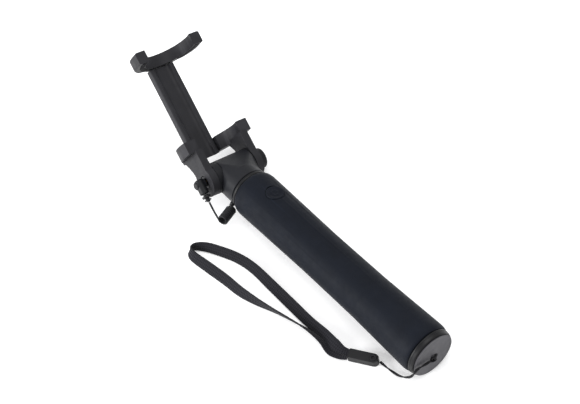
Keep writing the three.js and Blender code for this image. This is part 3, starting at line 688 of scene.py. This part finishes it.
# The hitch's middle line, and how far each of its two strands stands off it sideways.
HITCH_ROUTE = [
    (190.35, -14.0, -2.4, 0.4), (190.2, -8, -2.5, 0.5), (190.0, -3.5, -2.6, 0.9), (189.7, 0.4, -2.6, 1.2),
    (189.5, 1.9, -2.6, 1.3), (188.4, 2.8, -2.6, 1.4), (187.0, 2.3, -2.6, 1.4), (186.4, 1.0, -2.6, 1.5),
    (187.2, -0.4, -2.6, 1.6), (188.8, -0.9, -2.6, 1.6), (189.9, -0.2, -2.6, 1.5), (190.5, 0.9, -2.6, 0.9),
    (190.7, 1.4, -2.6, 0),
]
HITCH_R, HITCH_STEPS, HITCH_SPANS_LEFT_OUT = 0.62, 8, 3


def hitch():
    """The thread's cow hitch on the cap's bar: two legs over the front and a loop behind them."""
    shapes = []
    for side in (1, -1):
        route = [(x, y, z + apart * side) for x, y, z, apart in HITCH_ROUTE]
        path = spline(route, HITCH_STEPS)[HITCH_SPANS_LEFT_OUT * HITCH_STEPS:]
        shapes.append(sweep(path, round_section(HITCH_R, 12)))
    place(joined(shapes), "thread_hitch", STICK, BRAID, "handle", (), 60)


grip_sleeve()
shutter_button()
trim_and_rings()
end_cap()
hitch()

# ------------------------------------------------------------------ head, lead and plug


def head_block():
    """The barrel, drawn into the round neck behind it."""
    shape = bmesh.new()
    for radius, y in ((BARREL_R, BARREL_SEAM), (BARREL_R - 0.5, BARREL_HALF), (BARREL_R, BARREL_HALF - 0.5)):
        for x, z in arc(radius, 0, 360, 72)[:-1]:
            shape.verts.new((x, y, z))
    for y, z in arc(NECK_R, 0, 360, 72)[:-1]:
        shape.verts.new((13, y, z))
    hull = bmesh.ops.convex_hull(shape, input=shape.verts)
    bmesh.ops.delete(shape, geom=hull["geom_interior"], context="VERTS")
    body = loose(shape)
    neck = [(12.6, 0), (12.6, NECK_R), (NECK_END - 0.35, NECK_R), (NECK_END, NECK_R - 0.35), (NECK_END, 0)]
    carve(body, [turned(neck, 72)], "UNION")
    tools = [
        turned(bar(-16, BARREL_SEAM, BARREL_R + 0.3), 72, "Y"),  # the friction ring's space
        turned(bar(14, 22, 11), 72),  # the hollow neck
        turned(bar(8.9, 15, 3.8), 40),  # the last tube's socket
        turned(bar(-12, -2.7, 4.5), 48, "Y"),  # the nut's bore
        turned(bar(-3.2, 16, 2.8), 48, "Y"),  # the bolt's bore
        turned(bar(13.3, 16, 7.2), 64, "Y"),  # the spring washer's seat
    ]
    carve(body, tools)
    soften(body, 0.3, 3, 40)
    place(body, "barrel_and_neck", STICK, SHELL, "head", ["head_block"], 30)
    ring = rounded([(-BARREL_HALF, 4.5), (-BARREL_HALF, BARREL_R), (BARREL_SEAM - 0.2, BARREL_R),
                    (BARREL_SEAM - 0.2, 4.5)], 0.45, 4, True)
    place(loose(turned(ring, 96, "Y")), "barrel_ring", STICK, SHELL, "head", ["friction_ring"])


def lead_gland():
    """The short taper that the curly lead comes out of."""
    profile = rounded([(12.2, 0), (12.2, GLAND_R), (14.3, GLAND_R), (GLAND_TIP, 1.1), (GLAND_TIP, 0)], 0.3, 4)
    turn = Vector((0, 0, 1)).rotation_difference(GLAND_DIRECTION).to_matrix().to_4x4()
    place(loose(turned(profile, 48, "Z")), "gland_sleeve", STICK @ Matrix.Translation((GLAND_X, 0, 0)) @ turn,
          LEAD_RUBBER, "head", ["lead_gland"], 40)


LEAD_ROUTE = [
    (10.45, -23.9, -6.92), (11.7, -23.93, -7.8), (13.1, -24.0, -8.72), (14.5, -24.08, -9.5),
    (15.9, -24.18, -10.2), (17.2, -24.28, -10.78), (18.4, -24.38, -11.28), (19.5, -24.47, -11.68),
    (20.4, -24.54, -11.98), (21.1, -24.6, -12.22), (21.7, -24.65, -12.44), (22.15, -24.69, -12.62),
    (22.5, -24.72, -12.8), (22.72, -24.74, -12.93), (22.84, -24.75, -13.04),
]


def plug_lead():
    """The lead from the plug to the head: a straight stretch, then its curls, then the gland."""
    side = (COIL_SIDE - COIL_DIRECTION * COIL_SIDE.dot(COIL_DIRECTION)).normalized()
    other = COIL_DIRECTION.cross(side)
    path = spline(LEAD_ROUTE, 2)[:-1]
    steps = 20
    last = round(COIL_TURNS * steps)
    for step in range(last + 1):
        angle = math.radians(COIL_START + 360 * step / steps)
        back = COIL_DIRECTION * COIL_LENGTH * step / last
        path.append(COIL_END + (side * math.cos(angle) + other * math.sin(angle)) * COIL_WIRE_R - back)
    start, leaving = path[-1], (path[-1] - path[-2]).normalized()
    tip = Vector((GLAND_X, 0, 0)) + GLAND_DIRECTION * GLAND_TIP
    handle, arrival = start + leaving * 2.6, tip + GLAND_DIRECTION * 2.4
    for step in range(1, 13):
        t = step / 12
        path.append(start * (1 - t) ** 3 + handle * 3 * t * (1 - t) ** 2
                    + arrival * 3 * t ** 2 * (1 - t) + tip * t ** 3)
    lead = place(loose(sweep(path, round_section(LEAD_R, 12))), "lead_run", STICK, LEAD_RUBBER, "head",
                 ["curly_lead", "plug_lead"], 60)
    return lead, [STICK @ point for point in path]


def plug():
    body = loose(turned(rounded([(-6.8, 0), (-6.8, 2.5), (-6.3, PLUG_R), (2.4, PLUG_R), (3.2, 2.4), (3.2, 0)],
                                0.6, 5), 64, "Z"))
    body.data.transform(Matrix.Translation((0.5, PLUG_Y, 0)))
    stem = rounded([(-27.4, 0), (-27.4, 2.3), (-26.4, 2.9), (-20.4, 2.9), (-20.1, 2.6), (-20.1, 0)], 0.6, 5)
    lobe = turned(stem, 56, "Y")
    carve(body, [lobe], "UNION")
    soften(body, 0.3, 3, 40)
    housing = place(body, "plug_housing", CLAMP, LEAD_RUBBER, "head", ["plug_body"], 40)
    neck = rounded([
        (-12.2, 0), (-12.2, 1.0), (-11.5, 1.2), (-11.4, 2.25), (-10.6, 2.25), (-10.5, 1.4), (-9.5, 1.5),
        (-9.4, 2.85), (-8.0, 2.85), (-7.9, 1.7), (-7.1, 1.7), (-7.1, 0),
    ], 0.25, 4)
    relief = loose(turned(neck, 48, "Z"))
    relief.data.transform(Matrix.Translation((0.5, PLUG_Y, 0)))
    return housing, place(relief, "plug_relief", CLAMP, LEAD_RUBBER, "head", ["plug_boot"], 40)


head_block()
lead_gland()
lead, lead_path = plug_lead()
plug()

# ------------------------------------------------------------------ phone clamp


def jaw_outline(bore, radius, tip, steps=64):
    outer = math.degrees(math.acos(tip / radius))
    inner = math.degrees(math.acos(tip / bore))
    return [*arc(radius, outer, 360 - outer, steps), *arc(bore, 360 - inner, inner, steps)]


def pad_outline(side, grow=0.0, shift=0.0):
    start, end = PAD_FROM + shift - grow * 2.9, PAD_TO + grow * 2.9
    points = [*arc(PAD_RADIUS + grow, start, end, 24), *arc(PAD_BORE - grow, end, start, 24)]
    return [(x, y * side) for x, y in rounded(points, 0.6, 3, True)]


def arm_outline():
    return [(8.3, 20), (8.3, 5.58), *arc(EAR_R, 33.9, -218.7, 56), (-8.2, 9), (-9.9, 13.2), (-13.6, 18.4),
            (-13.6, 20)]


def clamp_yoke():
    body = loose(prism(jaw_outline(JAW_BORE, LOWER_JAW_R, LOWER_JAW_TIP), LOWER_JAW_FLOOR, LOWER_JAW_TOP))
    solids = [brick((-25.4, -18), (-12.4, 12.4), (LOWER_JAW_FLOOR, LOWER_JAW_TOP))]
    solids += [prism(arm_outline(), *sorted((s * ARM_INNER, s * ARM_OUTER)), "Y") for s in (1, -1)]
    carve(body, solids, "UNION")
    half = RAIL_HALF + 0.25
    tools = [brick((RAIL_BACK - 0.25, -12), (-half, half), (10, 30))]
    for side in (1, -1):
        tools.append(brick((-30, 10), sorted((side * (ARM_OUTER + 0.02), side * 30)), (15, TIP_FLOOR)))
        tools.append(prism(pad_outline(side, 0.12), LOWER_JAW_TOP - 0.8, 29))
    tools.append(turned(bar(-25, -14, 4.5), 64, "Y"))
    tools.append(turned(bar(14, 25, 2.8), 48, "Y"))
    tools.append(turned(bar(19.2, 25, 7.3), 64, "Y"))
    carve(body, tools)
    soften(body, 0.45, 3)
    place(body, "fork_and_lower_jaw", CLAMP, CLAMP_PLASTIC, "clamp", ["clamp_yoke"], 40)
    for side, label in ((-1, "left"), (1, "right")):
        pad = loose(prism(pad_outline(side), LOWER_JAW_TOP - PAD_SUNK, LOWER_JAW_TOP + PAD_PROUD))
        soften(pad, 0.2, 3)
        place(pad, f"lower_cushion_{label}", CLAMP, PAD_RUBBER, "clamp", [f"lower_pad_{label}"])


def hinge_knob():
    """A coin-edged disc that stands off the ear on a smaller boss, with a ring and a raised hub."""
    profile = rounded([
        (20.5, 0), (20.5, 5), (21.6, 5), (21.6, 6.5), (21.9, 6.8), (24.6, 6.8), (25.1, 6.3), (25.1, 5.5),
        (24.6, 5.2), (24.6, 4.4), (25.4, 4.1), (25.4, 2.9), (24.8, 2.6), (24.8, 0),
    ], 0.3, 4)
    place(loose(turned(profile, 96, "Y")), "knob_disc", CLAMP, SHELL, "clamp", ["hinge_knob"], 45)


def rail():
    inside, channel = RAIL_HALF - RAIL_WALL, RAIL_HALF - RIM
    floor, bottom = RAIL_FRONT - RAIL_WALL, RAIL_FRONT - 2
    half = [(RAIL_BACK, RAIL_HALF), *rounded([(RAIL_BACK, RAIL_HALF), (RAIL_FRONT, RAIL_HALF),
            (RAIL_FRONT, channel + 0.3), (RAIL_FRONT - 0.9, channel - 0.1), (bottom + 0.4, channel - 0.9),
            (bottom, channel - 2.4), (bottom, 0)], 1.5, 5)[1:-1]]
    hollow = [
        (bottom - RAIL_WALL, channel - 0.5), (floor, channel + 0.4), (floor, inside), (RAIL_BACK, inside),
    ]
    front = [*half, *[(x, -y) for x, y in reversed(half)]]
    rear = [*[(x, -y) for x, y in reversed(hollow)], *hollow]
    body = loose(prism(front + rear, RAIL_FOOT, RAIL_TOP))
    soften(body, 0.2, 2, 50)
    place(body, "rail_channel", CLAMP, CLAMP_PLASTIC, "clamp", ["rail_shell"], 40)
    cover_half = inside - 0.2
    cover = loose(brick((RAIL_BACK, RAIL_BACK + RAIL_WALL), (-cover_half, cover_half), (RAIL_FOOT, RAIL_TOP)))
    slot = brick((RAIL_BACK - 1, RAIL_BACK + 0.3), (-3.2, 3.2), (34, 78))
    carve(cover, [slot])
    soften(cover, 0.15, 2)
    place(cover, "rail_back", CLAMP, CLAMP_PLASTIC, "clamp", ["rail_cover"])


def upper_jaw():
    half = [(JAW_BORE, 24), (-2, 24.7), (-8, 24.3), (-13, 22), (-17.7, 18), (-19.6, 12.4), (-22.6, 9.6)]
    outer = rounded([*half, *[(x, -y) for x, y in reversed(half)]], 1.6, 5, True)
    body = soften(loose(prism(outer, UPPER_JAW_FLOOR, UPPER_JAW_TOP)), UPPER_JAW_ROUNDING, 5, 60)
    tools = [turned(bar(80, 100, JAW_BORE), FINE, "Z"), brick((UPPER_JAW_TIP, 40), (-40, 40), (80, 100))]
    tools.append(brick((-21.9, -20.3), (-5.5, 5.5), (80, 89.9)))
    tools += [prism(pad_outline(side, 0.12, UPPER_PAD_SHIFT), 83, UPPER_JAW_FLOOR + 0.8) for side in (1, -1)]
    carve(body, tools)
    soften(body, 0.7, 4)
    place(body, "upper_jaw_shell", CLAMP, CLAMP_PLASTIC, "jaw", ["upper_jaw"], 40)
    for side, label in ((-1, "left"), (1, "right")):
        outline = pad_outline(side, 0, UPPER_PAD_SHIFT)
        pad = loose(prism(outline, UPPER_JAW_FLOOR - PAD_PROUD, UPPER_JAW_FLOOR + PAD_SUNK))
        soften(pad, 0.2, 3)
        place(pad, f"upper_cushion_{label}", CLAMP, PAD_RUBBER, "jaw", [f"upper_pad_{label}"])


clamp_yoke()
hinge_knob()
rail()
upper_jaw()


# ------------------------------------------------------------------ CAD nodes that stay
def paint_cad():
    finishes = {
        "shell_plastic": SHELL, "steel": STEEL, "black_steel": BLACK_STEEL, "nylon": NYLON,
        "jack_brass": BRASS, "circuit_board": BOARD, "lead_rubber": LEAD_RUBBER,
    }
    slots = {part["node"]: part["material_slot"] for part in frame["record"]["subparts"]}
    for name, node in NODES.items():
        if slots[name] in finishes:
            node.data.materials.clear()
            node.data.materials.append(finishes[slots[name]])
            node.data.shade_smooth()
            node.data.set_sharp_from_angle(angle=math.radians(35))


paint_cad()
